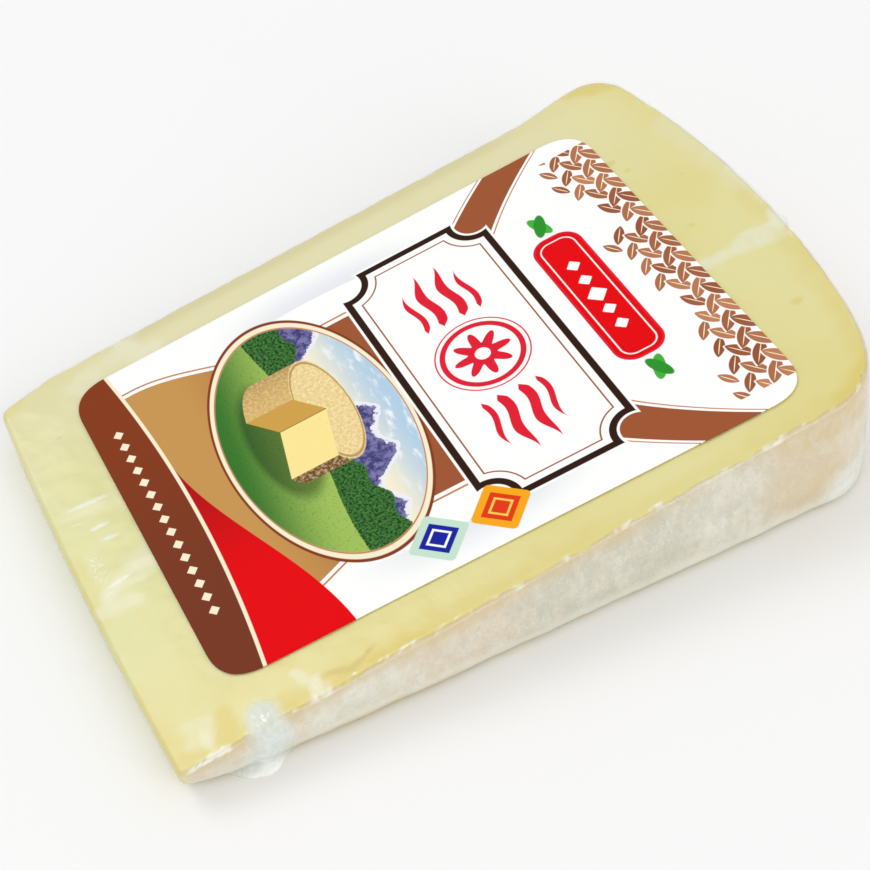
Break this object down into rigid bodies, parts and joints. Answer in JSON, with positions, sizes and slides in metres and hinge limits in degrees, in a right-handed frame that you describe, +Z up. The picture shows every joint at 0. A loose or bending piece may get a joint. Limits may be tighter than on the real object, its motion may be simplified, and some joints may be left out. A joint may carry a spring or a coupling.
{
  "type": "toma cheese wedge",
  "caption": "Wedge of semi-soft cheese, shrink-wrapped in clear film, lying on its cut face, with a printed paper label on the cut face that looks up.",
  "frame": {"origin": "middle of the footprint, on the surface the wedge lies on", "axes": "+X from the thin tip towards the rind at the heel, +Y across the wheel's height towards the far rind face, +Z up"},
  "size_m": [0.1472, 0.1072, 0.0271],
  "materials": {
    "wrapped_cheese": "pale yellow cheese and its mottled grey-beige rind, seen through clear glossy film",
    "printed_label": "white coated paper printed in brown, red and green, satin"
  },
  "bodies": {
    "root": {"wrapped_wedge": "wrapped_cheese", "label": "printed_label"}
  },
  "joints": []
}
